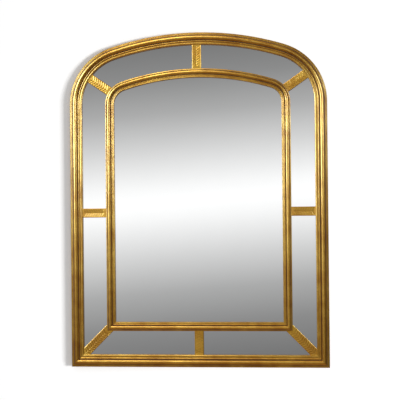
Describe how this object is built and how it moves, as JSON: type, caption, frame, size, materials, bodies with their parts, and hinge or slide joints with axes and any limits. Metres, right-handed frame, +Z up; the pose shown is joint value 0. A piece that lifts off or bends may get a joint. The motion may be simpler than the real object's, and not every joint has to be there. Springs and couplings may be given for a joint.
{
  "type": "arched wall mirror",
  "caption": "Arched wall mirror: a large pane in a gilt inner frame, a margin of small panes under engraved bars, and a gilt outer moulding; hangs from rings in its back.",
  "frame": {"origin": "middle of the frame's bottom edge, on the wall plane", "axes": "+Z up, +Y into the wall, so the mirror faces -Y; +X to the right as seen from the front"},
  "size_m": [0.92, 0.033, 1.193],
  "materials": {
    "gilt_moulding": "gold leaf on red-brown bole, rubbed on the crests and dark in the grooves",
    "gilt_bar": "gold leaf, engraved with chevrons, worn to the bole along the cuts",
    "mirror_glass": "silvered clear glass",
    "beech": "planed, unfinished",
    "plywood": "sanded, unfinished",
    "zinc_steel": "zinc plated",
    "nickel_steel": "nickel plated"
  },
  "bodies": {
    "frame": {"outer_left_stile": "gilt_moulding", "outer_right_stile": "gilt_moulding", "outer_bottom_rail": "gilt_moulding", "outer_left_haunch": "gilt_moulding", "outer_right_haunch": "gilt_moulding", "outer_crown": "gilt_moulding", "inner_left_stile": "gilt_moulding", "inner_right_stile": "gilt_moulding", "inner_bottom_rail": "gilt_moulding", "inner_left_haunch": "gilt_moulding", "inner_right_haunch": "gilt_moulding", "inner_crown": "gilt_moulding", "bar_top": "gilt_bar", "bar_bottom": "gilt_bar", "bar_left": "gilt_bar", "bar_right": "gilt_bar", "bar_top_left": "gilt_bar", "bar_top_right": "gilt_bar", "bar_bottom_left": "gilt_bar", "bar_bottom_right": "gilt_bar", "pane_centre": "mirror_glass", "pane_top_left": "mirror_glass", "pane_top_right": "mirror_glass", "pane_upper_left": "mirror_glass", "pane_upper_right": "mirror_glass", "pane_lower_left": "mirror_glass", "pane_lower_right": "mirror_glass", "pane_bottom_left": "mirror_glass", "pane_bottom_right": "mirror_glass", "outer_frame_tongues": "beech", "inner_frame_tongues": "beech", "backboard": "plywood", "glazing_points": "zinc_steel", "backboard_screws": "zinc_steel", "hanger_screws": "zinc_steel", "left_hanger_strap": "nickel_steel", "right_hanger_strap": "nickel_steel"},
    "left_ring": {"left_hanger_ring": "nickel_steel"},
    "right_ring": {"right_hanger_ring": "nickel_steel"}
  },
  "joints": [
    {"name": "left_ring_swing", "type": "hinge", "parent": "frame", "child": "left_ring", "pos_m": [-0.4425, -0.00644, 0.85974], "axis": [-1, 0, 0], "range_deg": [0, 170]},
    {"name": "right_ring_swing", "type": "hinge", "parent": "frame", "child": "right_ring", "pos_m": [0.4425, -0.00644, 0.85974], "axis": [-1, 0, 0], "range_deg": [0, 170]}
  ]
}
